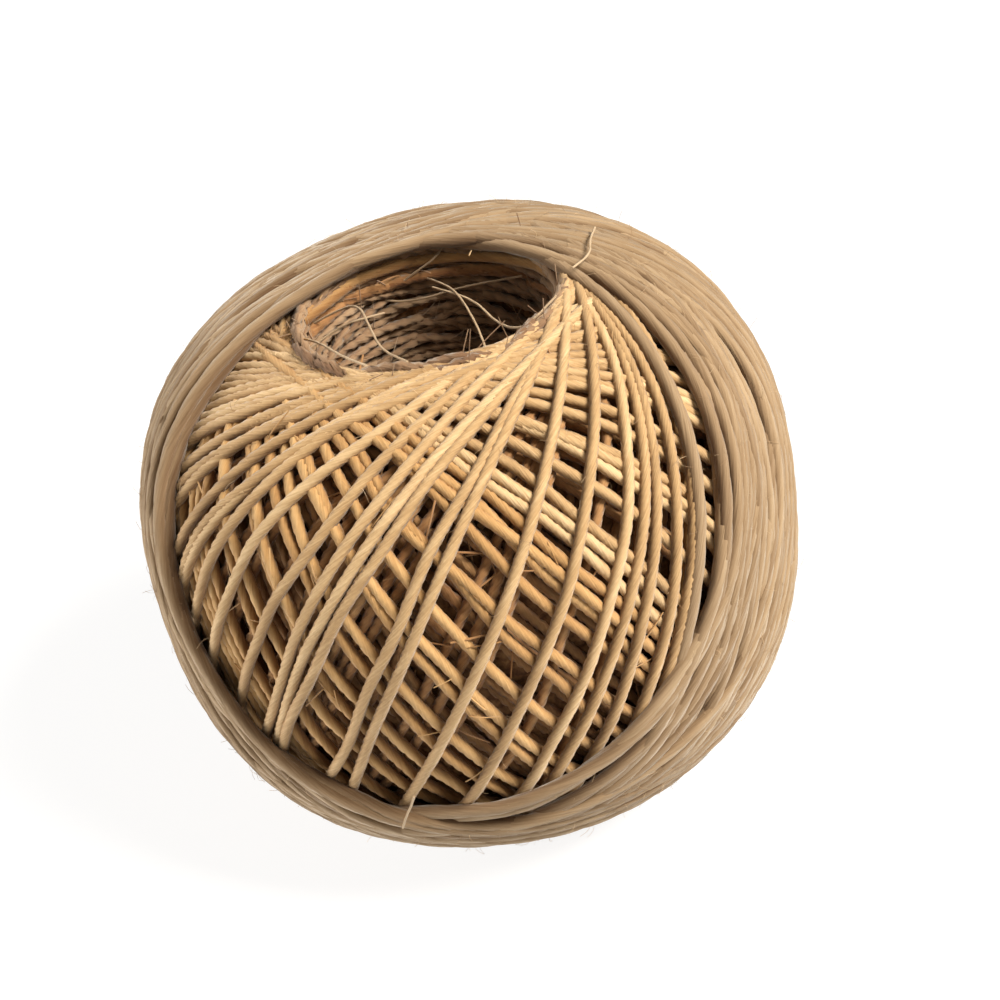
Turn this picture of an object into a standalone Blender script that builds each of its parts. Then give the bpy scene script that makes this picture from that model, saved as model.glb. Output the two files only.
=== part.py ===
"""A ball of string, standing on one of its flattened ends.

The string is wound on a spindle in slanting turns, each nearly a great circle
that just misses the axis. The spindle is drawn out at the end, so a hole runs
through the ball from the top mouth to the bottom one. The ball is one solid:
its wound form, with the main bundles of turns as ridges that slant from the
rim of one mouth to the rim of the other. Units are metres, +Z is up, and the
origin is under the ball's axis, on the face that it stands on.
"""

import math

import bmesh
import bpy

# The wound form: how far it swells, and how square its shoulders are.
BALL_RADIUS = 0.045
SHOULDER_HEIGHT = 0.039
SHOULDER_POWER = 2.6
FOOT_RADIUS = 0.0218  # out to here the lower end is pressed flat

# The hole that the spindle leaves.
LIP_RADIUS = 0.019  # where the outer form starts to roll in to the mouth
MOUTH_RADIUS = 0.01515  # on average: each mouth has settled out of round
MOUTH_OVAL = 0.0013  # it is wider from side to side than from front to back,
MOUTH_SHIFT = 0.00165  # and the newest turns hang over one edge of it
LIP_DROP = 0.0034
WAIST_RADIUS = 0.0135

# The main bundles of turns.
BUNDLES = 22
COLUMNS_PER_BUNDLE = 4
GROOVE_DEPTH = 0.0010
CROWDED_RADIUS = 0.0235  # inside this the turns lie close, and no groove shows
OPEN_RADIUS = 0.033  # outside this the grooves have their full depth

# Rings of points along the section.
OUTER_STEPS = 18
LIP_RINGS = 3
HOLE_STEPS = 9

STRING_COLOUR = (0.58, 0.40, 0.22, 1.0)


def clear_scene():
    for old in list(bpy.data.objects):
        bpy.data.objects.remove(old)


def string_material():
    made = bpy.data.materials.new("jute_string")
    made.use_nodes = True
    shader = made.node_tree.nodes["Principled BSDF"]
    shader.inputs["Base Color"].default_value = STRING_COLOUR
    shader.inputs["Roughness"].default_value = 0.85
    shader.inputs["Metallic"].default_value = 0.0
    return made


def form_height(radius):
    """Height of the wound form over its middle plane, at a radius from the axis."""
    share = (radius / BALL_RADIUS) ** SHOULDER_POWER
    return SHOULDER_HEIGHT * max(0.0, 1.0 - share) ** (1.0 / SHOULDER_POWER)


def form_distance(polar):
    """Distance of the wound form from its centre, at an angle from the axis."""
    across = (math.sin(polar) / BALL_RADIUS) ** SHOULDER_POWER
    along = (abs(math.cos(polar)) / SHOULDER_HEIGHT) ** SHOULDER_POWER
    return (across + along) ** (-1.0 / SHOULDER_POWER)


def polar_at(radius):
    """Angle from the axis of the wound form's upper half, at a radius from the axis."""
    return math.atan2(radius, form_height(radius))


def turn_angle(polar):
    """How far round the axis a turn has gone from where it touches the upper rim."""
    cosine = math.tan(polar_at(LIP_RADIUS)) / math.tan(polar)
    return math.acos(max(-1.0, min(1.0, cosine)))


def outer_polars():
    """Angles from the axis of the outer rings, with one at the edge of each end."""
    lip = polar_at(LIP_RADIUS)
    foot = polar_at(FOOT_RADIUS)
    step = (math.pi - 2.0 * foot) / OUTER_STEPS
    between = [foot + step * ring for ring in range(OUTER_STEPS + 1)]
    return [lip, *between, math.pi - lip]


def section():
    """The closed section as rings: (radius, height, angle round the axis, settled).

    The outside runs from the upper lip to the lower one, and the hole back up.
    The rings near a lip don't turn on one another, as no groove shows there.
    The last value is 0 where a ring is round, and 1 at the edge of a mouth.
    """
    first_angle = turn_angle(polar_at(CROWDED_RADIUS))
    last_angle = math.pi - first_angle
    rings = []
    for polar in outer_polars():
        distance = form_distance(polar)
        angle = max(first_angle, min(last_angle, turn_angle(polar)))
        rings.append((distance * math.sin(polar), distance * math.cos(polar), angle, 0.0))
    lip_height = form_height(LIP_RADIUS)
    lip_width = LIP_RADIUS - MOUTH_RADIUS
    roll_in = []
    for ring in range(1, LIP_RINGS + 1):
        roll = 0.5 * math.pi * ring / LIP_RINGS
        radius = LIP_RADIUS - lip_width * math.sin(roll)
        height = lip_height - LIP_DROP * (1.0 - math.cos(roll))
        roll_in.append((radius, height, math.sin(roll)))
    rings += [(radius, -height, last_angle, settled) for radius, height, settled in roll_in]
    hole_half = lip_height - LIP_DROP
    for ring in range(1, HOLE_STEPS):
        share = ring / HOLE_STEPS
        height = hole_half * (2.0 * share - 1.0)
        flare = (height / hole_half) ** 2
        radius = WAIST_RADIUS + (MOUTH_RADIUS - WAIST_RADIUS) * flare
        angle = last_angle + share * (first_angle - last_angle)
        rings.append((radius, height, angle, flare))
    for radius, height, settled in roll_in[::-1]:
        rings.append((radius, height, first_angle, settled))
    return rings


def bundle_columns():
    """(angle round the axis, groove share) of each column, for bundles of uneven width."""
    widths = [1.0 + 0.25 * math.sin(2.4 * bundle + 1.0) for bundle in range(BUNDLES)]
    depths = [0.8 + 0.2 * math.sin(1.7 * bundle) for bundle in range(BUNDLES)]
    columns = []
    start = 0.0
    for width, depth in zip(widths, depths):
        for step in range(COLUMNS_PER_BUNDLE):
            share = step / COLUMNS_PER_BUNDLE
            angle = 2.0 * math.pi * (start + share * width) / sum(widths)
            groove = depth * 0.5 * (1.0 + math.cos(2.0 * math.pi * share))
            columns.append((angle, groove))
        start += width
    return columns


def groove_strength(radius):
    """1 where the turns lie apart, falling to 0 at the rims and in the hole."""
    share = (radius - CROWDED_RADIUS) / (OPEN_RADIUS - CROWDED_RADIUS)
    share = max(0.0, min(1.0, share))
    return share * share * (3.0 - 2.0 * share)


def settling(around, height):
    """How far the edge of the mouth has moved out from the axis, at an angle round it."""
    shift = math.copysign(MOUTH_SHIFT, height)
    return MOUTH_OVAL * math.cos(2.0 * around) - shift * math.sin(around)


def wound_ball(material):
    rings = section()
    columns = bundle_columns()
    shell = bmesh.new()
    grid = []
    foot_depth = form_height(FOOT_RADIUS)
    for radius, height, angle, settled in rings:
        strength = groove_strength(radius)
        row = []
        for column_angle, groove in columns:
            inset = 1.0 - GROOVE_DEPTH * strength * groove / BALL_RADIUS
            around = column_angle - angle
            reach = radius * inset + settled * settling(around, height)
            above_foot = max(height * inset + foot_depth, 0.0)
            point = (
                reach * math.cos(around),
                reach * math.sin(around),
                above_foot,
            )
            row.append(shell.verts.new(point))
        grid.append(row)
    count = len(columns)
    for index, row in enumerate(grid):
        following = grid[(index + 1) % len(grid)]
        for column in range(count):
            after = (column + 1) % count
            corners = (row[column], row[after], following[after], following[column])
            shell.faces.new(corners)
    bmesh.ops.recalc_face_normals(shell, faces=shell.faces)
    mesh = bpy.data.meshes.new("string_ball")
    shell.to_mesh(mesh)
    shell.free()
    mesh.materials.append(material)
    mesh.shade_smooth()
    ball = bpy.data.objects.new("string_ball", mesh)
    bpy.context.scene.collection.objects.link(ball)
    return ball


clear_scene()
wound_ball(string_material())
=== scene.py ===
"""A ball of two-ply jute string, standing on its flattened lower end in a plain studio."""

import math

import bmesh
import bpy
import numpy as np
from mathutils import Matrix, Vector


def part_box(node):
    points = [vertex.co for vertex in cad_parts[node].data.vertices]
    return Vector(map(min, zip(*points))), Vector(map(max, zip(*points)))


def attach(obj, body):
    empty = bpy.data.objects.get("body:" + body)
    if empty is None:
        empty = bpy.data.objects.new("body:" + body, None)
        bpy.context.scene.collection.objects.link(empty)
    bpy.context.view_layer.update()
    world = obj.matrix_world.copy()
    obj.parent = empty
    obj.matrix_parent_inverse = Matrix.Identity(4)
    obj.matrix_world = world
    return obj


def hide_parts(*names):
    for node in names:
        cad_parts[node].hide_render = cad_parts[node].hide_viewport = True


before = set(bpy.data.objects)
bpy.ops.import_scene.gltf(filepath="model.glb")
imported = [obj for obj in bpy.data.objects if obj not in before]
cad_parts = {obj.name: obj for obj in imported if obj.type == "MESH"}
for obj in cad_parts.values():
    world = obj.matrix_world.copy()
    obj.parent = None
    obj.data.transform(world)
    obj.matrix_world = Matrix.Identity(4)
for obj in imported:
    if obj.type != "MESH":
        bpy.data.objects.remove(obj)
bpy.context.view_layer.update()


# --- Winding the string ---------------------------------------------------------------
# The ball is one length of jute string, wound by machine on a spindle. Each turn is
# nearly a great circle that just misses the spindle, and the next one is laid a few
# degrees further round, drawn tight over the turns that are already there.

STRING_RADIUS = 0.0008
SHOULDER_POWER = 2.6
SHOULDER_SHARE = 39.0 / 45.0  # half the height of the wound form over its radius
LIP_RADIUS = 0.019
RIM_RADIUS = 0.0164  # closest that a turn's centre line comes to the axis, on average
RIM_OVAL = 0.0018  # each mouth has settled: it is wider from side to side,
RIM_SHIFT = 0.0012  # and the upper one stands a little forward of the axis
RIM_REACH = 0.0412  # from the ball's centre to a turn at the rim of the mouth
RIM_SPREAD = math.radians(3.8)  # how much further out than that a turn may pass
RIM_CROWDING = 1.4  # over 1 where more turns lie near the rim than away from it
RIM_TRIES = 7  # places tried at the rim, to find where the ball is least built up
TURN_STEP = math.radians(5.3)  # from one turn to the next, on average
SPACINGS = (0.3, 0.7, 1.15, 1.95)  # turns lie in twos and threes, with gaps between
PACE_SWINGS = (0.40, 0.22)  # how much further apart they lie on one side of the ball
PACE_ANGLE = 0.35
NARROWEST = math.radians(2.0)  # one string's width at the waist
ROUNDS = 2.5  # times that the winding goes round the axis before the belt
LAST_TURN = math.radians(122.0)  # angle round the axis of the newest turn
BELT_WIDTH = math.radians(92.0)  # the newest turns are laid close, as a wide belt
BELT_STEP = math.radians(1.55)
BELT_SPACINGS = (0.7, 1.3)
BELT_TRIES = 3
BELT_SPREAD = np.radians((17.0, 46.0))  # at its upper and its lower end
BELT_INSIDE = math.radians(2.5)  # how far it hangs over the rim
BELT_RISE = 0.0008  # how far the belt may stand out from the form
BELT_STRING = 0.00095  # its strings are pressed flat on each other, so they look wider
LAYER_RISE = 0.0012  # what half a round adds to the ball's radius
UNEVEN_DEPTH = 0.0008  # some turns are pressed in a little further than others
PRESSED_RADIUS = 0.00068  # a string crushed a little by those that cross it
STRAYING = (0.003, 0.009)  # how far a turn wanders off its great circle, as an angle
STRAYING_WAVES = (2, 3, 5, 8, 13)
JOINT_LENGTH = 0.5  # angle along a turn in which it comes in line with the one before
TUCKED_DEPTH = 0.0030  # how far the newest end goes in under its neighbours
STEPS_A_TURN = 900
STEPS_A_TRY = 180
SMOOTHED_STEPS = 9

low_corner, high_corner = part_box("string_ball")
ball_radius = 0.5 * (high_corner.x - low_corner.x)
shoulder_height = SHOULDER_SHARE * ball_radius
lip_share = (LIP_RADIUS / ball_radius) ** SHOULDER_POWER
lip_height = shoulder_height * (1.0 - lip_share) ** (1.0 / SHOULDER_POWER)
centre_height = high_corner.z - lip_height
dice = np.random.default_rng(11)


def form_distance(polar):
    """Distance of the wound form from its centre, at an angle from the axis."""
    sine = np.sin(polar)
    cosine = np.abs(np.cos(polar))
    across = (sine / ball_radius) ** SHOULDER_POWER
    along = (cosine / shoulder_height) ** SHOULDER_POWER
    rounded = (across + along) ** (-1.0 / SHOULDER_POWER)
    foot = np.where(polar > 0.5 * math.pi, centre_height / np.maximum(cosine, 1e-6), 1.0)
    return np.minimum(rounded, foot)


def turn_directions(angles, polars, wander, steps):
    """Directions from the ball's centre along one turn, and the turn's sideways ones.

    angles and polars say where the turn is at its low start, its top and its low end.
    """
    along = np.linspace(-math.pi, math.pi, steps, endpoint=False)
    around = np.interp(along, (-math.pi, 0.0, math.pi), angles)
    low_polar = np.where(along < 0.0, polars[0], polars[2])
    top_share = 0.5 + 0.5 * np.cos(along)
    closest = low_polar + (polars[1] - low_polar) * top_share
    top = np.stack(
        (np.sin(closest) * np.cos(around), np.sin(closest) * np.sin(around), np.cos(closest)), 1
    )
    level = np.stack((-np.sin(around), np.cos(around), np.zeros_like(around)), 1)
    directions = np.cos(along)[:, None] * top + np.sin(along)[:, None] * level
    sideways = np.cross(top, level)
    directions = directions + wander[:, None] * sideways
    directions /= np.linalg.norm(directions, axis=1)[:, None]
    return along, directions, sideways


class Surface:
    """How deep the wound surface lies under the finished form, by direction."""

    rows = 600
    columns = 1200
    offsets = np.linspace(-0.94, 0.94, 9) * PRESSED_RADIUS  # across one string
    reach = 0.9 * ball_radius  # about how far from the centre the string lies

    def __init__(self, depth):
        self.depth = np.full(self.rows * self.columns, depth)

    def cells(self, directions, sideways, offset):
        moved = directions + sideways * (offset / self.reach)
        moved /= np.linalg.norm(moved, axis=1)[:, None]
        polar = np.arccos(np.clip(moved[:, 2], -1.0, 1.0))
        around = np.arctan2(moved[:, 1], moved[:, 0]) % (2.0 * math.pi)
        row = np.minimum((polar / math.pi * self.rows).astype(int), self.rows - 1)
        column = (around / (2.0 * math.pi) * self.columns).astype(int) % self.columns
        return row * self.columns + column

    def support(self, directions, sideways):
        """Depth of a string's centre line where it rests on what is below it."""
        resting = np.full(len(directions), 1.0)
        for offset in self.offsets:
            rise = math.sqrt(PRESSED_RADIUS**2 - offset**2)
            under = self.depth[self.cells(directions, sideways, offset)] - rise
            resting = np.minimum(resting, under)
        return resting

    def lay(self, directions, sideways, depth):
        for offset in self.offsets:
            rise = math.sqrt(PRESSED_RADIUS**2 - offset**2)
            cells = self.cells(directions, sideways, offset)
            np.minimum.at(self.depth, cells, depth - rise)


def drawn_tight(radii, along):
    """The radii of a taut loop over these ones: the convex outline of its points."""
    start = int(np.argmax(radii))
    radii = np.roll(radii, -start)
    angles = np.roll(along, -start)
    x_values = (radii * np.cos(angles)).tolist()
    y_values = (radii * np.sin(angles)).tolist()
    outline = []
    for index in [*range(len(x_values)), 0]:
        x, y = x_values[index], y_values[index]
        while len(outline) > 1:
            before, last = outline[-2], outline[-1]
            turn = (x_values[last] - x_values[before]) * (y - y_values[last])
            turn -= (y_values[last] - y_values[before]) * (x - x_values[last])
            if turn > 0.0:
                break
            outline.pop()
        outline.append(index)
    corners = np.array(outline[:-1])
    order = np.arange(len(radii))
    span = np.searchsorted(corners, order, side="right") - 1
    first = corners[span]
    second = corners[(span + 1) % len(corners)]
    x, y = np.array(x_values), np.array(y_values)
    edge_x, edge_y = x[second] - x[first], y[second] - y[first]
    reach = x[first] * edge_y - y[first] * edge_x
    facing = np.cos(angles) * edge_y - np.sin(angles) * edge_x
    return np.roll(reach / facing, start)


def slow_wave(steps, size, waves):
    """A smooth random wave round one turn."""
    along = np.linspace(0.0, 2.0 * math.pi, steps, endpoint=False)
    total = np.zeros(steps)
    for wave in waves:
        total += dice.normal() / math.sqrt(wave) * np.sin(wave * along + dice.uniform(0.0, 6.3))
    return size * total


def laid_angles():
    """Angle round the axis of each turn, oldest first, found back from the newest."""
    angles = [LAST_TURN]
    while angles[-1] > LAST_TURN - BELT_WIDTH:
        angles.append(angles[-1] - BELT_STEP * dice.uniform(*BELT_SPACINGS))
    while angles[-1] > LAST_TURN - BELT_WIDTH - 2.0 * math.pi * ROUNDS:
        pace = 1.0 + PACE_SWINGS[0] * math.cos(angles[-1] - PACE_ANGLE)
        pace += PACE_SWINGS[1] * math.cos(2.0 * angles[-1] - PACE_ANGLE)
        angles.append(angles[-1] - max(NARROWEST, TURN_STEP * pace * dice.choice(SPACINGS)))
    return np.array(angles[::-1])


def roomiest_rims(surface, angles, last_low, turn_angle, age):
    """Where a turn passes the rims: at its low start, at its top and at its low end."""
    in_belt = turn_angle > LAST_TURN - BELT_WIDTH
    rim_radius = RIM_RADIUS + RIM_OVAL * math.cos(2.0 * turn_angle)
    rim_radius -= RIM_SHIFT * math.sin(turn_angle)
    rim_polar = math.asin(rim_radius / (RIM_REACH - LAYER_RISE * age))
    spread = BELT_SPREAD if in_belt else np.full(2, RIM_SPREAD)
    crowding = 1.0 if in_belt else RIM_CROWDING
    at_rim = 0.6  # angle along a turn that counts as the rim
    still = np.zeros(STEPS_A_TRY)
    best = None
    for _ in range(BELT_TRIES if in_belt else RIM_TRIES):
        rims = rim_polar + spread * dice.uniform(0.0, 1.0, 2) ** crowding
        rims -= BELT_INSIDE * in_belt
        last_low = rims[1] if last_low is None else last_low
        along, directions, sideways = turn_directions(
            angles, (last_low, *rims), still, STEPS_A_TRY
        )
        room = surface.support(directions, sideways)
        top_room = room[np.abs(along) < at_rim].mean()
        low_room = room[along > math.pi - at_rim].mean()
        if best is None:
            best = [top_room, low_room, rims[0], rims[1]]
        if top_room > best[0]:
            best[0], best[2] = top_room, rims[0]
        if low_room > best[1]:
            best[1], best[3] = low_room, rims[1]
    return last_low, best[2], best[3]


def wind_ball(turn_angles):
    """Points along each turn, oldest turn first. Each one starts where the last one ends."""
    surface = Surface(LAYER_RISE * 2 * (ROUNDS + 1) + STRING_RADIUS)
    joints = 0.5 * (turn_angles[1:] + turn_angles[:-1])
    joints = np.concatenate((turn_angles[:1], joints, turn_angles[-1:]))
    whole_turn = np.linspace(-math.pi, math.pi, STEPS_A_TURN, endpoint=False)
    free = np.minimum(1.0, (math.pi - np.abs(whole_turn)) / JOINT_LENGTH)
    from_start = np.clip(1.0 - (whole_turn + math.pi) / JOINT_LENGTH, 0.0, 1.0)
    to_end = np.clip(1.0 - (math.pi - whole_turn) / JOINT_LENGTH, 0.0, 1.0)
    last_low, last_rise, last_radius = None, 0.0, None
    wound = []
    for index, turn_angle in enumerate(turn_angles):
        angles = (joints[index], turn_angle, joints[index + 1])
        age = (LAST_TURN - turn_angle) / math.pi
        in_belt = turn_angle > LAST_TURN - BELT_WIDTH
        polars = roomiest_rims(surface, angles, last_low, turn_angle, age)
        straying = dice.uniform(*STRAYING) * min(1.8, 0.9 + 0.6 * age)  # older turns slip
        wander = slow_wave(STEPS_A_TURN, straying, STRAYING_WAVES) * free
        along, directions, sideways = turn_directions(angles, polars, wander, STEPS_A_TURN)
        form = form_distance(np.arccos(directions[:, 2]))
        resting = form - surface.support(directions, sideways)
        rise = BELT_RISE * in_belt - dice.uniform(0.0, UNEVEN_DEPTH)
        rises = np.interp(along, (-math.pi, math.pi), (last_rise, rise))
        limit = form - STRING_RADIUS - LAYER_RISE * age + rises
        radii = np.minimum(drawn_tight(resting, along), limit)
        padded = np.pad(radii, SMOOTHED_STEPS // 2, "edge")
        radii = np.convolve(padded, np.ones(SMOOTHED_STEPS) / SMOOTHED_STEPS, "valid")
        if last_radius is not None:
            radii += (last_radius - radii[0]) * from_start**2
        if index == len(turn_angles) - 1:
            radii -= TUCKED_DEPTH * to_end**2
        last_low, last_rise, last_radius = polars[2], rise, radii[-1]
        surface.lay(directions, sideways, form - radii)
        points = directions * radii[:, None]
        points[:, 2] = np.maximum(points[:, 2] + centre_height, BELT_STRING)
        wound.append(points)
    return np.array(wound)


turn_angles = laid_angles()
turns = wind_ball(turn_angles)


# --- The outer coats of string --------------------------------------------------------
# Two-ply jute string, 1.6 mm thick: two yarns of long straw-coloured fibre, twisted
# softly round each other. The newest turns are a close belt, and the older ones lie
# under it in coats that show through each other's gaps. The belt and the older coats
# have darker, redder copies of the string's colour, the coats darker the further in
# they are: painted shade.

STRING_LAY = 0.012  # length of string in which its two yarns go once round
BELT_LAY = 0.040  # the pressed strings' twist hardly shows
PLY_NOTCH = 0.06  # how far the valley between the two yarns goes in
UNEVEN_SHARE = 0.09  # how much the string's thickness wanders, and over what length
UNEVEN_LENGTH = 0.009
FIBRE_SHARE = 0.22  # what the fine streaks, and then the longer ones, add to the shade
LENGTH_SHARE = 0.18
SHADE_OFFSET = 37.0  # no two strings have their streaks in the same places
GROOVE_SHADE_SHARE = 0.30  # and how much darker and browner the string is painted down its sides: painted shade in the grooves between strings


def new_tree(name, inputs, output):
    """A tree with named inputs, each of its own kind, and one output of mesh."""
    tree = bpy.data.node_groups.new(name, "GeometryNodeTree")
    for title, kind in inputs.items():
        tree.interface.new_socket(title, in_out="INPUT", socket_type=f"NodeSocket{kind}")
    tree.interface.new_socket(output, in_out="OUTPUT", socket_type="NodeSocketGeometry")
    return tree


def open_side(tree, entry):
    """Direction from each point to the open air: its way from Centre, times Outward."""
    new, link = tree.nodes.new, tree.links.new
    place = new("GeometryNodeInputPosition")
    from_centre = new("ShaderNodeVectorMath")
    from_centre.operation = "SUBTRACT"
    link(place.outputs[0], from_centre.inputs[0])
    link(entry.outputs["Centre"], from_centre.inputs[1])
    sided = new("ShaderNodeVectorMath")
    sided.operation = "MULTIPLY"
    link(from_centre.outputs[0], sided.inputs[0])
    link(entry.outputs["Outward"], sided.inputs[1])
    away = new("ShaderNodeVectorMath")
    away.operation = "NORMALIZE"
    link(sided.outputs[0], away.inputs[0])
    return away.outputs[0]


def string_tree():
    """Twisted string along a line of points."""
    inputs = {
        "Line": "Geometry",
        "Radius": "Float",
        "Lay": "Float",
        "Notch": "Float",
        "Sides": "Int",
        "Centre": "Vector",
        "Outward": "Vector",
        "Material": "Material",
    }
    tree = new_tree("twisted string", inputs, "String")
    new, link = tree.nodes.new, tree.links.new
    entry = new("NodeGroupInput")
    curve = new("GeometryNodeMeshToCurve")
    link(entry.outputs["Line"], curve.inputs["Mesh"])
    length = new("GeometryNodeInputNamedAttribute")
    length.data_type = "FLOAT"
    length.inputs["Name"].default_value = "length"
    lays = new("ShaderNodeMath")
    lays.operation = "DIVIDE"
    link(length.outputs["Attribute"], lays.inputs[0])
    link(entry.outputs["Lay"], lays.inputs[1])
    turning = new("ShaderNodeMath")
    turning.operation = "MULTIPLY"
    turning.inputs[1].default_value = 2.0 * math.pi
    link(lays.outputs[0], turning.inputs[0])
    fullness = new("GeometryNodeInputNamedAttribute")
    fullness.data_type = "FLOAT"
    fullness.inputs["Name"].default_value = "fullness"
    sized = new("GeometryNodeSetCurveRadius")
    link(curve.outputs["Curve"], sized.inputs["Curve"])
    link(fullness.outputs["Attribute"], sized.inputs["Radius"])
    twist = new("GeometryNodeSetCurveTilt")
    link(sized.outputs["Curve"], twist.inputs["Curve"])
    link(turning.outputs[0], twist.inputs["Tilt"])
    ring = new("GeometryNodeCurvePrimitiveCircle")
    ring.inputs["Radius"].default_value = 1.0
    link(entry.outputs["Sides"], ring.inputs["Resolution"])
    place = new("GeometryNodeInputPosition")
    store = new("GeometryNodeStoreNamedAttribute")
    store.data_type = "FLOAT_VECTOR"
    store.domain = "POINT"
    store.inputs["Name"].default_value = "around"
    link(ring.outputs["Curve"], store.inputs["Geometry"])
    link(place.outputs[0], store.inputs["Value"])
    parts = new("ShaderNodeSeparateXYZ")
    link(place.outputs[0], parts.inputs[0])
    squared = new("ShaderNodeMath")
    squared.operation = "MULTIPLY"
    link(parts.outputs["Y"], squared.inputs[0])
    link(parts.outputs["Y"], squared.inputs[1])
    notched = new("ShaderNodeMath")
    notched.operation = "MULTIPLY"
    link(squared.outputs[0], notched.inputs[0])
    link(entry.outputs["Notch"], notched.inputs[1])
    left = new("ShaderNodeMath")
    left.operation = "SUBTRACT"
    left.inputs[0].default_value = 1.0
    link(notched.outputs[0], left.inputs[1])
    reach = new("ShaderNodeMath")
    reach.operation = "MULTIPLY"
    link(left.outputs[0], reach.inputs[0])
    link(entry.outputs["Radius"], reach.inputs[1])
    shaped = new("ShaderNodeVectorMath")
    shaped.operation = "SCALE"
    link(place.outputs[0], shaped.inputs[0])
    link(reach.outputs[0], shaped.inputs["Scale"])
    section = new("GeometryNodeSetPosition")
    link(store.outputs["Geometry"], section.inputs["Geometry"])
    link(shaped.outputs[0], section.inputs["Position"])
    sweep = new("GeometryNodeCurveToMesh")
    sweep.inputs["Fill Caps"].default_value = True
    link(twist.outputs["Curve"], sweep.inputs["Curve"])
    link(section.outputs["Geometry"], sweep.inputs["Profile Curve"])
    # how far each point faces the open air, kept as outside, for the painted shade down the
    # string's sides
    normal = new("GeometryNodeInputNormal")
    facing = new("ShaderNodeVectorMath")
    facing.operation = "DOT_PRODUCT"
    link(open_side(tree, entry), facing.inputs[0])
    link(normal.outputs[0], facing.inputs[1])
    exposed = new("GeometryNodeStoreNamedAttribute")
    exposed.data_type = "FLOAT"
    exposed.domain = "POINT"
    exposed.inputs["Name"].default_value = "outside"
    link(sweep.outputs["Mesh"], exposed.inputs["Geometry"])
    link(facing.outputs["Value"], exposed.inputs["Value"])
    smooth = new("GeometryNodeSetShadeSmooth")
    link(exposed.outputs["Geometry"], smooth.inputs["Geometry"])
    real = new("GeometryNodeRealizeInstances")
    link(smooth.outputs["Geometry"], real.inputs["Geometry"])
    finish = new("GeometryNodeSetMaterial")
    link(real.outputs["Geometry"], finish.inputs["Geometry"])
    link(entry.outputs["Material"], finish.inputs["Material"])
    leave = new("NodeGroupOutput")
    link(finish.outputs["Geometry"], leave.inputs["String"])
    return tree


def line_object(name, lines, shades):
    """An object of bare lines, with the length, shade and fullness at each point."""
    points = np.concatenate(lines)
    lengths = []
    fullness = []
    edges = []
    start = 0
    for line in lines:
        gaps = np.linalg.norm(np.diff(line, axis=0), axis=1)
        lengths.append(np.concatenate(((0.0,), np.cumsum(gaps))))
        knots = np.arange(0.0, lengths[-1][-1] + UNEVEN_LENGTH, UNEVEN_LENGTH)
        sizes = 1.0 + UNEVEN_SHARE * dice.normal(size=len(knots))
        fullness.append(np.interp(lengths[-1], knots, sizes))
        first = np.arange(start, start + len(line) - 1)
        edges.append(np.stack((first, first + 1), 1))
        start += len(line)
    edges = np.concatenate(edges)
    mesh = bpy.data.meshes.new(name)
    mesh.vertices.add(len(points))
    mesh.vertices.foreach_set("co", points.astype(np.float32).ravel())
    mesh.edges.add(len(edges))
    mesh.edges.foreach_set("vertices", edges.astype(np.int32).ravel())
    for key, values in (("length", lengths), ("shade", shades), ("fullness", fullness)):
        held = mesh.attributes.new(key, "FLOAT", "POINT")
        held.data.foreach_set("value", np.concatenate(values).astype(np.float32))
    made = bpy.data.objects.new(name, mesh)
    bpy.context.scene.collection.objects.link(made)
    return made


def built(holder, tree, **values):
    """holder's mesh as the node tree makes it, with the tree's modifier gone."""
    modifier = holder.modifiers.new("build", "NODES")
    modifier.node_group = tree
    for item in tree.interface.items_tree:
        if item.in_out == "INPUT" and item.name in values:
            modifier[item.identifier] = values[item.name]
    bpy.context.view_layer.update()
    shown = holder.evaluated_get(bpy.context.evaluated_depsgraph_get())
    mesh = bpy.data.meshes.new_from_object(shown)
    holder.modifiers.remove(modifier)
    holder.data = mesh
    mesh.name = holder.name
    return holder


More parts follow.
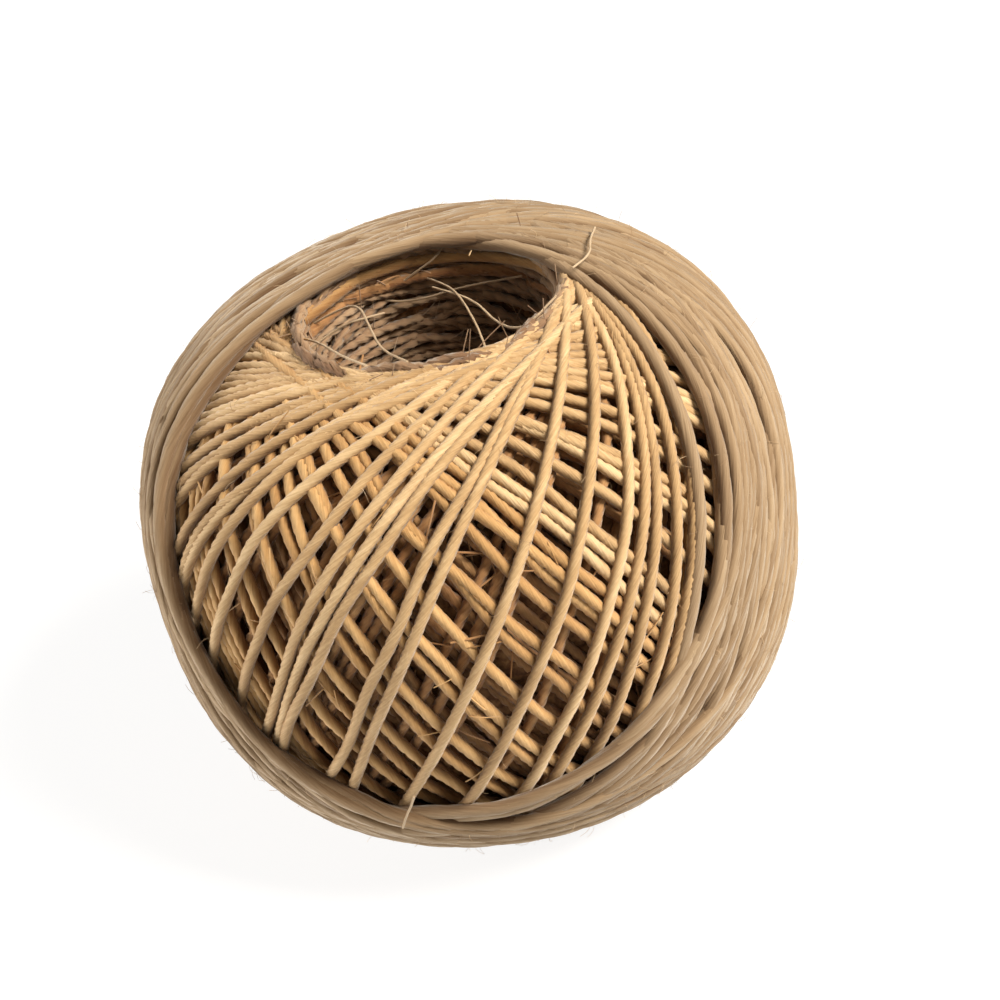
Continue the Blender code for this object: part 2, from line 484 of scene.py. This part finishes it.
def jute(name, dark, middle, pale):
    """Jute fibre: straw-coloured streaks along the twist, with darker and paler lengths."""
    made = bpy.data.materials.new(name)
    made.use_nodes = True
    nodes, link = made.node_tree.nodes, made.node_tree.links.new
    shader = nodes["Principled BSDF"]
    shader.inputs["Specular IOR Level"].default_value = 0.25
    shader.inputs["Sheen Weight"].default_value = 0.3
    shader.inputs["Sheen Roughness"].default_value = 0.5
    shader.inputs["Sheen Tint"].default_value = (1.0, 0.93, 0.82, 1.0)
    around = nodes.new("ShaderNodeAttribute")
    around.attribute_name = "around"
    length = nodes.new("ShaderNodeAttribute")
    length.attribute_name = "length"
    shade = nodes.new("ShaderNodeAttribute")
    shade.attribute_name = "shade"
    sides = nodes.new("ShaderNodeSeparateXYZ")
    link(around.outputs["Vector"], sides.inputs[0])

    def streaks(stretch, scale, detail):
        """Noise that is drawn out along the string, from about 0 to 1."""
        run = nodes.new("ShaderNodeMath")
        run.operation = "MULTIPLY"
        run.inputs[1].default_value = 1.0 / (STRING_RADIUS * stretch)
        link(length.outputs["Fac"], run.inputs[0])
        offset = nodes.new("ShaderNodeMath")
        offset.operation = "MULTIPLY_ADD"
        offset.inputs[1].default_value = SHADE_OFFSET
        link(shade.outputs["Fac"], offset.inputs[0])
        link(run.outputs[0], offset.inputs[2])
        place = nodes.new("ShaderNodeCombineXYZ")
        link(sides.outputs["X"], place.inputs["X"])
        link(sides.outputs["Y"], place.inputs["Y"])
        link(offset.outputs[0], place.inputs["Z"])
        noise = nodes.new("ShaderNodeTexNoise")
        noise.inputs["Scale"].default_value = scale
        noise.inputs["Detail"].default_value = detail
        noise.inputs["Roughness"].default_value = 0.6
        link(place.outputs[0], noise.inputs["Vector"])
        spread = nodes.new("ShaderNodeMapRange")
        spread.inputs["From Min"].default_value = 0.3
        spread.inputs["From Max"].default_value = 0.7
        link(noise.outputs["Fac"], spread.inputs["Value"])
        return spread.outputs["Result"]

    def weighed(value, weight, rest):
        """weight times value, added to rest."""
        sum_node = nodes.new("ShaderNodeMath")
        sum_node.operation = "MULTIPLY_ADD"
        sum_node.inputs[1].default_value = weight
        link(value, sum_node.inputs[0])
        if isinstance(rest, float):
            sum_node.inputs[2].default_value = rest
        else:
            link(rest, sum_node.inputs[2])
        return sum_node.outputs[0]

    # painted shade: the string darker and browner down its sides, where they face away from the
    # open air
    outside = nodes.new("ShaderNodeAttribute")
    outside.attribute_name = "outside"
    groove_shade_mask = nodes.new("ShaderNodeMapRange")
    groove_shade_mask.inputs["From Min"].default_value = 0.1
    groove_shade_mask.inputs["From Max"].default_value = 0.85
    link(outside.outputs["Fac"], groove_shade_mask.inputs["Value"])
    fibres = streaks(stretch=22.0, scale=4.0, detail=4.0)
    lengths = streaks(stretch=30.0, scale=0.8, detail=2.0)
    tone = weighed(fibres, FIBRE_SHARE, 0.0)
    tone = weighed(lengths, LENGTH_SHARE, tone)
    tone = weighed(groove_shade_mask.outputs["Result"], GROOVE_SHADE_SHARE, tone)
    tint_share = 1.0 - FIBRE_SHARE - LENGTH_SHARE - GROOVE_SHADE_SHARE
    tone = weighed(shade.outputs["Fac"], tint_share, tone)
    ramp = nodes.new("ShaderNodeValToRGB")
    ramp.color_ramp.elements[0].position = 0.18
    ramp.color_ramp.elements[0].color = (*dark, 1.0)
    ramp.color_ramp.elements[1].position = 0.92
    ramp.color_ramp.elements[1].color = (*pale, 1.0)
    centre = ramp.color_ramp.elements.new(0.58)
    centre.color = (*middle, 1.0)
    link(tone, ramp.inputs["Fac"])
    link(ramp.outputs["Color"], shader.inputs["Base Color"])
    rough = nodes.new("ShaderNodeMapRange")
    rough.inputs["To Min"].default_value = 0.95
    rough.inputs["To Max"].default_value = 0.7
    link(fibres, rough.inputs["Value"])
    link(rough.outputs["Result"], shader.inputs["Roughness"])
    bump = nodes.new("ShaderNodeBump")
    bump.inputs["Strength"].default_value = 0.6
    bump.inputs["Distance"].default_value = 0.0001
    link(fibres, bump.inputs["Height"])
    link(bump.outputs["Normal"], shader.inputs["Normal"])
    return made


# The belt and the older coats are darker, redder copies of the one string's colour: painted shade,
# the older coats darker the further in they lie.
belt_jute = jute("belt jute", (0.125, 0.067, 0.030), (0.275, 0.179, 0.095), (0.405, 0.283, 0.163))
string_jute = jute("jute string", (0.19, 0.10, 0.038), (0.48, 0.30, 0.137), (0.74, 0.53, 0.29))
second_jute = jute("second jute", (0.23, 0.105, 0.032), (0.47, 0.265, 0.100), (0.65, 0.415, 0.185))
inner_jute = jute("inner jute", (0.19, 0.075, 0.024), (0.37, 0.185, 0.070), (0.50, 0.29, 0.125))
twisted = string_tree()
ball_centre = (0.0, 0.0, centre_height)
EVERY_WAY = (1.0, 1.0, 1.0)  # the outer coats are open to the air away from the centre


def coat(name, newer, older, stride, sides, material, radius=STRING_RADIUS, pressed=False):
    """The turns between two angles, counted back from the newest turn, as one piece."""
    back = LAST_TURN - turn_angles
    chosen = turns[(back >= newer) & (back < older)]
    tints = dice.uniform(0.0, 1.0, len(chosen))
    line = chosen.reshape(-1, 3)[::stride]
    tint = np.repeat(tints, STEPS_A_TURN)[::stride]
    holder = line_object(name, [line], [tint])
    built(
        holder,
        twisted,
        Radius=radius,
        Lay=BELT_LAY if pressed else STRING_LAY,
        Notch=0.0 if pressed else PLY_NOTCH,
        Sides=sides,
        Centre=ball_centre,
        Outward=EVERY_WAY,
        Material=material,
    )
    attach(holder, "root")
    return holder


edge = BELT_WIDTH
belt = coat("belt_turns", 0.0, edge, 5, 7, belt_jute, BELT_STRING, pressed=True)
newest = coat("newest_turns", edge, edge + math.pi, 3, 7, string_jute)
edge += math.pi
second = coat("second_turns", edge, edge + math.pi, 3, 7, second_jute)
edge += math.pi
third = coat("third_coat", edge, edge + 2.0 * math.pi, 5, 6, inner_jute)
edge += 2.0 * math.pi
coat("fourth_coat", edge, edge + math.pi, 6, 5, inner_jute)
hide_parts("string_ball")


# --- The wall of the hole -------------------------------------------------------------
# The same string in the first turns, which lay against the spindle. Each one shows only
# where it passes the hole: a short level run that just touches the spindle's surface.

MOUTH_RADIUS = 0.0161
WAIST_RADIUS = 0.0140
WALL_TOP = lip_height - 0.0002
TO_THE_AXIS = (-1.0, -1.0, 0.0)  # the wall of the hole is open on its inner side
WALL_LEVELS = 58
RUNS_A_LEVEL = 13
RUN_HALF = 0.0115
RUN_POINTS = 12
RUN_SLOPE = 0.16
WALL_UNEVEN = 0.0010
WALL_COVER = (0.0016, 0.0046)  # how deep under the outside a run's middle and ends stay

shaded_jute = jute("shaded jute", (0.19, 0.10, 0.05), (0.34, 0.21, 0.115), (0.44, 0.30, 0.18))


def hole_radius(height, angle):
    """Radius of the hole at a height over the ball's centre, and an angle round it."""
    share = height / WALL_TOP
    round_hole = WAIST_RADIUS + (MOUTH_RADIUS - WAIST_RADIUS) * share**2
    oval = RIM_OVAL * math.cos(2.0 * angle) * share**2
    return round_hole + oval - RIM_SHIFT * math.sin(angle) * share


def wall_runs():
    """Short lines that touch the hole at many heights."""
    lines = []
    along = np.linspace(-RUN_HALF, RUN_HALF, RUN_POINTS)
    for level in range(WALL_LEVELS):
        height = WALL_TOP * (2.0 * level / (WALL_LEVELS - 1) - 1.0)
        for run in range(RUNS_A_LEVEL):
            angle = 2.0 * math.pi * (run + dice.uniform(-0.5, 0.5)) / RUNS_A_LEVEL
            radius = hole_radius(height, angle) + dice.uniform(0.0, WALL_UNEVEN)
            slope = dice.normal() * RUN_SLOPE
            sag = height / (2.0 * (radius**2 + height**2))
            x = radius * math.cos(angle) - along * math.sin(angle)
            y = radius * math.sin(angle) + along * math.cos(angle)
            line = np.stack((x, y, height + slope * along - sag * along**2), 1)
            reach = np.linalg.norm(line, axis=1)
            cover = np.interp(np.abs(along), (0.0, RUN_HALF), WALL_COVER)
            covered = form_distance(np.arccos(line[:, 2] / reach)) - cover
            line *= np.minimum(1.0, covered / reach)[:, None]
            line[:, 2] += centre_height
            lines.append(line)
    return lines


runs = wall_runs()
wall = line_object("hole_wall_turns", runs, [np.full(len(run), dice.uniform()) for run in runs])
built(
    wall,
    twisted,
    Radius=STRING_RADIUS,
    Lay=STRING_LAY,
    Notch=PLY_NOTCH,
    Sides=5,
    Centre=ball_centre,
    Outward=TO_THE_AXIS,
    Material=shaded_jute,
)
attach(wall, "root")


# --- The inner turns ------------------------------------------------------------------
# All the string further in, pressed into a felted mass. It shows only as the ground behind
# the gaps, painted dark brown as shade, so it is one closed body with rough, uneven sides.

CORE_DEPTH = 0.0070
CORE_WALL = 0.0016  # behind the hole's own turns
CORE_EDGE = math.radians(33.0)  # from the axis to where the outside meets the hole
CORE_RINGS = 40
CORE_COLUMNS = 120
CORE_ROUGHNESS = 0.00025


def core_section(angle):
    """Closed section of the inner mass: (radius, height over the ball's centre)."""
    outer = []
    for polar in np.linspace(CORE_EDGE, math.pi - CORE_EDGE, CORE_RINGS):
        reach = float(form_distance(np.array(polar))) - CORE_DEPTH
        outer.append((reach * math.sin(polar), reach * math.cos(polar)))
    inner = []
    for height in np.linspace(outer[-1][1], outer[0][1], CORE_RINGS // 2):
        inner.append((hole_radius(height, angle) + CORE_WALL, height))
    return outer + inner


def make_core():
    """The inner mass: its section, turned round the axis and roughened."""
    shell = bmesh.new()
    grid = []
    for column in range(CORE_COLUMNS):
        angle = 2.0 * math.pi * column / CORE_COLUMNS
        row = []
        for radius, height in core_section(angle):
            rough = radius + CORE_ROUGHNESS * dice.normal()
            point = (rough * math.cos(angle), rough * math.sin(angle), centre_height + height)
            row.append(shell.verts.new(point))
        grid.append(row)
    for column, row in enumerate(grid):
        following = grid[(column + 1) % CORE_COLUMNS]
        for ring in range(len(row)):
            after = (ring + 1) % len(row)
            shell.faces.new((row[ring], row[after], following[after], following[ring]))
    bmesh.ops.recalc_face_normals(shell, faces=shell.faces)
    mesh = bpy.data.meshes.new("inner_turns")
    shell.to_mesh(mesh)
    shell.free()
    mesh.shade_smooth()
    made = bpy.data.objects.new("inner_turns", mesh)
    bpy.context.scene.collection.objects.link(made)
    return made


def shaded_felted_jute():
    """Matted fibre, painted dark brown as the shade deep in the ball: blotches and fine hairs in
    every direction.
    """
    made = bpy.data.materials.new("felted jute")
    made.use_nodes = True
    nodes, link = made.node_tree.nodes, made.node_tree.links.new
    shader = nodes["Principled BSDF"]
    shader.inputs["Roughness"].default_value = 0.95
    place = nodes.new("ShaderNodeTexCoord")
    noise = nodes.new("ShaderNodeTexNoise")
    noise.inputs["Scale"].default_value = 900.0
    noise.inputs["Detail"].default_value = 4.0
    link(place.outputs["Object"], noise.inputs["Vector"])
    ramp = nodes.new("ShaderNodeValToRGB")
    ramp.color_ramp.elements[0].position = 0.35
    ramp.color_ramp.elements[0].color = (0.10, 0.038, 0.012, 1.0)
    ramp.color_ramp.elements[1].position = 0.7
    ramp.color_ramp.elements[1].color = (0.34, 0.175, 0.065, 1.0)
    link(noise.outputs["Fac"], ramp.inputs["Fac"])
    link(ramp.outputs["Color"], shader.inputs["Base Color"])
    bump = nodes.new("ShaderNodeBump")
    bump.inputs["Strength"].default_value = 0.8
    bump.inputs["Distance"].default_value = 0.0004
    link(noise.outputs["Fac"], bump.inputs["Height"])
    link(bump.outputs["Normal"], shader.inputs["Normal"])
    return made


core = make_core()
core.data.materials.append(shaded_felted_jute())
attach(core, "root")


# --- Loose fibres ---------------------------------------------------------------------
# Jute is never smooth: the ends of single fibres stand out from the yarn all over the
# ball, short and bent. Coarser slivers have split off the older turns and lie along them.

FIBRE_SIZES = (0.3, 1.3)  # shortest and longest, in shares of the length given
FUZZ = {
    "Density": 50000.0,
    "Length": 0.0018,
    "Lift": 0.0015,
    "Tilt": 0.9,
    "Radius": 0.000022,
    "Outward": EVERY_WAY,
    "Least facing": 0.3,
}


def fibre_tree():
    """Bent fibres that stand on a mesh, wherever it faces the open air."""
    inputs = {
        "Yarn": "Geometry",
        "Density": "Float",
        "Length": "Float",
        "Radius": "Float",
        "Lift": "Float",
        "Tilt": "Float",
        "Centre": "Vector",
        "Outward": "Vector",
        "Least facing": "Float",
        "Seed": "Int",
        "Material": "Material",
    }
    tree = new_tree("loose fibres", inputs, "Fibres")
    new, link = tree.nodes.new, tree.links.new
    entry = new("NodeGroupInput")
    away = open_side(tree, entry)
    normal = new("GeometryNodeInputNormal")
    facing = new("ShaderNodeVectorMath")
    facing.operation = "DOT_PRODUCT"
    link(away, facing.inputs[0])
    link(normal.outputs[0], facing.inputs[1])
    shown = new("FunctionNodeCompare")
    shown.data_type = "FLOAT"
    shown.operation = "GREATER_THAN"
    link(entry.outputs["Least facing"], shown.inputs["B"])
    link(facing.outputs["Value"], shown.inputs["A"])
    scatter = new("GeometryNodeDistributePointsOnFaces")
    scatter.distribute_method = "RANDOM"
    link(entry.outputs["Yarn"], scatter.inputs["Mesh"])
    link(shown.outputs["Result"], scatter.inputs["Selection"])
    link(entry.outputs["Density"], scatter.inputs["Density"])
    link(entry.outputs["Seed"], scatter.inputs["Seed"])
    bend = new("GeometryNodeCurveQuadraticBezier")
    bend.inputs["Resolution"].default_value = 4
    bend.inputs["Start"].default_value = (0.0, 0.0, -0.1)
    bend.inputs["Middle"].default_value = (0.1, 0.0, 0.75)
    bend.inputs["End"].default_value = (1.0, 0.15, 0.35)
    stretch = new("GeometryNodeTransform")
    link(bend.outputs["Curve"], stretch.inputs["Geometry"])
    span = new("ShaderNodeCombineXYZ")
    link(entry.outputs["Length"], span.inputs["X"])
    link(entry.outputs["Length"], span.inputs["Y"])
    link(entry.outputs["Lift"], span.inputs["Z"])
    link(span.outputs[0], stretch.inputs["Scale"])
    ring = new("GeometryNodeCurvePrimitiveCircle")
    ring.inputs["Resolution"].default_value = 3
    link(entry.outputs["Radius"], ring.inputs["Radius"])
    sweep = new("GeometryNodeCurveToMesh")
    sweep.inputs["Fill Caps"].default_value = True
    link(stretch.outputs["Geometry"], sweep.inputs["Curve"])
    link(ring.outputs["Curve"], sweep.inputs["Profile Curve"])
    size = new("FunctionNodeRandomValue")
    size.data_type = "FLOAT"
    size.inputs[2].default_value, size.inputs[3].default_value = FIBRE_SIZES
    link(entry.outputs["Seed"], size.inputs["Seed"])
    spin = new("FunctionNodeRandomValue")
    spin.data_type = "FLOAT_VECTOR"
    spin.inputs[0].default_value = (-1.0, -1.0, -1.0)
    spin.inputs[1].default_value = (1.0, 1.0, 1.0)
    link(entry.outputs["Seed"], spin.inputs["Seed"])
    most = new("ShaderNodeCombineXYZ")
    link(entry.outputs["Tilt"], most.inputs["X"])
    link(entry.outputs["Tilt"], most.inputs["Y"])
    most.inputs["Z"].default_value = math.pi
    leaning = new("ShaderNodeVectorMath")
    leaning.operation = "MULTIPLY"
    link(spin.outputs["Value"], leaning.inputs[0])
    link(most.outputs[0], leaning.inputs[1])
    upright = new("FunctionNodeAlignRotationToVector")
    upright.axis = "Z"
    link(away, upright.inputs["Vector"])
    turned = new("FunctionNodeRotateRotation")
    turned.rotation_space = "LOCAL"
    to_rotation = new("FunctionNodeEulerToRotation")
    link(leaning.outputs[0], to_rotation.inputs[0])
    link(upright.outputs["Rotation"], turned.inputs["Rotation"])
    link(to_rotation.outputs[0], turned.inputs["Rotate By"])
    plant = new("GeometryNodeInstanceOnPoints")
    link(scatter.outputs["Points"], plant.inputs["Points"])
    link(sweep.outputs["Mesh"], plant.inputs["Instance"])
    link(turned.outputs["Rotation"], plant.inputs["Rotation"])
    link(size.outputs[1], plant.inputs["Scale"])
    real = new("GeometryNodeRealizeInstances")
    link(plant.outputs["Instances"], real.inputs["Geometry"])
    smooth = new("GeometryNodeSetShadeSmooth")
    link(real.outputs["Geometry"], smooth.inputs["Geometry"])
    finish = new("GeometryNodeSetMaterial")
    link(smooth.outputs["Geometry"], finish.inputs["Geometry"])
    link(entry.outputs["Material"], finish.inputs["Material"])
    leave = new("NodeGroupOutput")
    link(finish.outputs["Geometry"], leave.inputs["Fibres"])
    return tree


def single_fibre():
    """One jute fibre: pale and a little shiny, with its tone wandering along it."""
    made = bpy.data.materials.new("single fibre")
    made.use_nodes = True
    nodes, link = made.node_tree.nodes, made.node_tree.links.new
    shader = nodes["Principled BSDF"]
    shader.inputs["Roughness"].default_value = 0.6
    shader.inputs["Specular IOR Level"].default_value = 0.3
    place = nodes.new("ShaderNodeTexCoord")
    noise = nodes.new("ShaderNodeTexNoise")
    noise.inputs["Scale"].default_value = 400.0
    link(place.outputs["Object"], noise.inputs["Vector"])
    ramp = nodes.new("ShaderNodeValToRGB")
    ramp.color_ramp.elements[0].position = 0.35
    ramp.color_ramp.elements[0].color = (0.30, 0.18, 0.09, 1.0)
    ramp.color_ramp.elements[1].position = 0.65
    ramp.color_ramp.elements[1].color = (0.66, 0.48, 0.29, 1.0)
    link(noise.outputs["Fac"], ramp.inputs["Fac"])
    link(ramp.outputs["Color"], shader.inputs["Base Color"])
    return made


def fray(name, yarn, seed, material, **sizes):
    """Loose fibres on a piece of the string, as a piece of their own, none under the floor.

    sizes are the tree's inputs, in small letters, where they differ from FUZZ.
    """
    fuzz = bpy.data.objects.new(name, yarn.data.copy())
    bpy.context.scene.collection.objects.link(fuzz)
    values = dict(FUZZ, **{key.replace("_", " ").capitalize(): sizes[key] for key in sizes})
    built(fuzz, fibres_on_yarn, Centre=ball_centre, Seed=seed, Material=material, **values)
    places = np.empty(3 * len(fuzz.data.vertices), dtype=np.float32)
    fuzz.data.vertices.foreach_get("co", places)
    places[2::3] = np.maximum(places[2::3], 0.0)
    fuzz.data.vertices.foreach_set("co", places)
    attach(fuzz, "root")


fibre_finish = single_fibre()
fibres_on_yarn = fibre_tree()
fray("belt_fibres", belt, 5, fibre_finish, density=30000.0, lift=0.0012)
fray("newest_fibres", newest, 6, fibre_finish)
lying = dict(tilt=0.12, least_facing=0.6)
fray("second_slivers", second, 7, second_jute, density=30000.0, length=0.004,
     lift=0.0008, radius=0.00010, **lying)
fray("third_slivers", third, 8, inner_jute, density=25000.0, length=0.005,
     lift=0.0010, radius=0.00013, **lying)
fray("wall_slivers", wall, 9, shaded_jute, density=60000.0, length=0.005,
     lift=0.0008, tilt=0.15, radius=0.00006, outward=TO_THE_AXIS)


# --- Stray lengths --------------------------------------------------------------------
# A few thin, kinked lengths of fibre came loose as the ball was pulled off its spindle.
# They hang across the upper mouth, and two are on the outside.

STRAY_RADIUS = 0.00017
STRAYS = (  # points in millimetres from the ball's centre: right, back and up
    ((-8, 14, 28), (-5, 12.5, 31), (-2, 12, 33), (3, 11, 36), (5, 14, 38)),
    ((-17, 10, 33), (-13, 13, 31), (-7, 13, 30), (-2, 12, 29), (5, 10, 31), (13, 6, 33)),
    ((-17, 6, 32), (-13, 5, 34), (-9, 3, 36), (-8, -4, 36), (-7, -10, 36), (-4, -17, 38)),
    ((0, 13, 32), (2, 9, 33), (4, 4, 34), (5.5, -3, 33), (6, -8, 32)),
    ((1, 8, 33), (6, 1, 34), (8, -4, 33), (10, -10, 35), (12, -11, 36), (16, -9, 38)),
    ((-18, 1, 34), (-15, -3, 35), (-12, -11, 37), (-9, -16, 38)),
    ((-17, 2, 31), (-12, 3, 33), (-9, 2, 34), (-6, 4, 33)),
    ((24, 9, 36.3), (22.5, 4, 37.4), (22, 0, 37.7), (19, -4, 38.5)),
    ((-14.7, -43.2, -9), (-15.4, -42.7, -11), (-16.6, -41.6, -14), (-17.4, -40.3, -17)),
)


def softened(points):
    """A line with its corners cut three times over, between the same two ends."""
    line = np.array(points, dtype=float)
    for _ in range(3):
        near = 0.75 * line[:-1] + 0.25 * line[1:]
        far = 0.25 * line[:-1] + 0.75 * line[1:]
        cut = np.stack((near, far), 1).reshape(-1, 3)
        line = np.concatenate((line[:1], cut, line[-1:]))
    return line


stray_lines = [0.001 * softened(points) + (0.0, 0.0, centre_height) for points in STRAYS]
strays = line_object(
    "stray_lengths", stray_lines, [np.full(len(line), dice.uniform()) for line in stray_lines]
)
stray_jute = jute("stray jute", (0.34, 0.22, 0.12), (0.52, 0.37, 0.22), (0.68, 0.52, 0.34))
built(
    strays,
    twisted,
    Radius=STRAY_RADIUS,
    Lay=STRING_LAY,
    Notch=PLY_NOTCH,
    Sides=5,
    Centre=ball_centre,
    Outward=EVERY_WAY,
    Material=stray_jute,
)
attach(strays, "root")


# --- The studio -----------------------------------------------------------------------
# A plain pale floor that is bright in itself, a large warm lamp at the upper right and
# front, and a wide weak one on the left. The camera leans, and the ball stands upright.

BALL_TO_CAMERA = 0.2730
CAMERA_ELEVATION = math.radians(37.0)
CAMERA_LEAN = math.radians(12.0)
LENS = 69.4
FLOOR_HALF = 6.0  # its edges are out of the view from here, but not from lower down
AIM_RIGHT = 0.0138  # slopes from the ball's centre to the middle of the view
AIM_UP = 0.0079

centre = Vector(ball_centre)
outward = Vector((0.0, -math.cos(CAMERA_ELEVATION), math.sin(CAMERA_ELEVATION)))
level_right = Vector((1.0, 0.0, 0.0))
level_up = level_right.cross(-outward)
right = math.cos(CAMERA_LEAN) * level_right - math.sin(CAMERA_LEAN) * level_up
up = math.cos(CAMERA_LEAN) * level_up + math.sin(CAMERA_LEAN) * level_right
forward = (-outward + AIM_RIGHT * right + AIM_UP * up).normalized()
right = forward.cross(up).normalized()
up = right.cross(forward)
lens = bpy.data.cameras.new("camera")
lens.lens = LENS
lens.clip_start = 0.01
camera = bpy.data.objects.new("camera", lens)
turned = Matrix((right, up, -forward)).transposed().to_4x4()
camera.matrix_world = Matrix.Translation(centre + BALL_TO_CAMERA * outward) @ turned
bpy.context.scene.collection.objects.link(camera)
bpy.context.scene.camera = camera


def lamp(name, place, size, power, colour):
    """A square soft lamp at place, facing the ball."""
    light = bpy.data.lights.new(name, "AREA")
    light.size = size
    light.energy = power
    light.color = colour
    made = bpy.data.objects.new(name, light)
    made.location = place
    made.rotation_euler = (centre - Vector(place)).to_track_quat("-Z", "Y").to_euler()
    bpy.context.scene.collection.objects.link(made)


lamp("key lamp", (0.63, -0.27, 0.73), 0.40, 18.5, (1.0, 0.95, 0.87))
lamp("left lamp", (-0.80, 0.15, 0.10), 0.5, 9.0, (1.0, 0.96, 0.90))

floor_mesh = bpy.data.meshes.new("floor")
corners = [(FLOOR_HALF * x, FLOOR_HALF * y, 0.0) for x, y in ((-1, -1), (1, -1), (1, 1), (-1, 1))]
floor_mesh.from_pydata(corners, [], [(0, 1, 2, 3)])
floor = bpy.data.objects.new("floor", floor_mesh)
bpy.context.scene.collection.objects.link(floor)
floor_paint = bpy.data.materials.new("pale floor")
floor_paint.use_nodes = True
floor_shader = floor_paint.node_tree.nodes["Principled BSDF"]
floor_shader.inputs["Base Color"].default_value = (0.22, 0.22, 0.22, 1.0)
floor_shader.inputs["Roughness"].default_value = 0.9
floor_shader.inputs["Emission Color"].default_value = (1.0, 1.0, 1.0, 1.0)
floor_shader.inputs["Emission Strength"].default_value = 0.85
floor_mesh.materials.append(floor_paint)

world = bpy.data.worlds.new("studio air")
world.use_nodes = True
world.node_tree.nodes["Background"].inputs["Color"].default_value = (1.0, 0.95, 0.88, 1.0)
world.node_tree.nodes["Background"].inputs["Strength"].default_value = 0.25
bpy.context.scene.world = world
bpy.context.scene.view_settings.view_transform = "Standard"
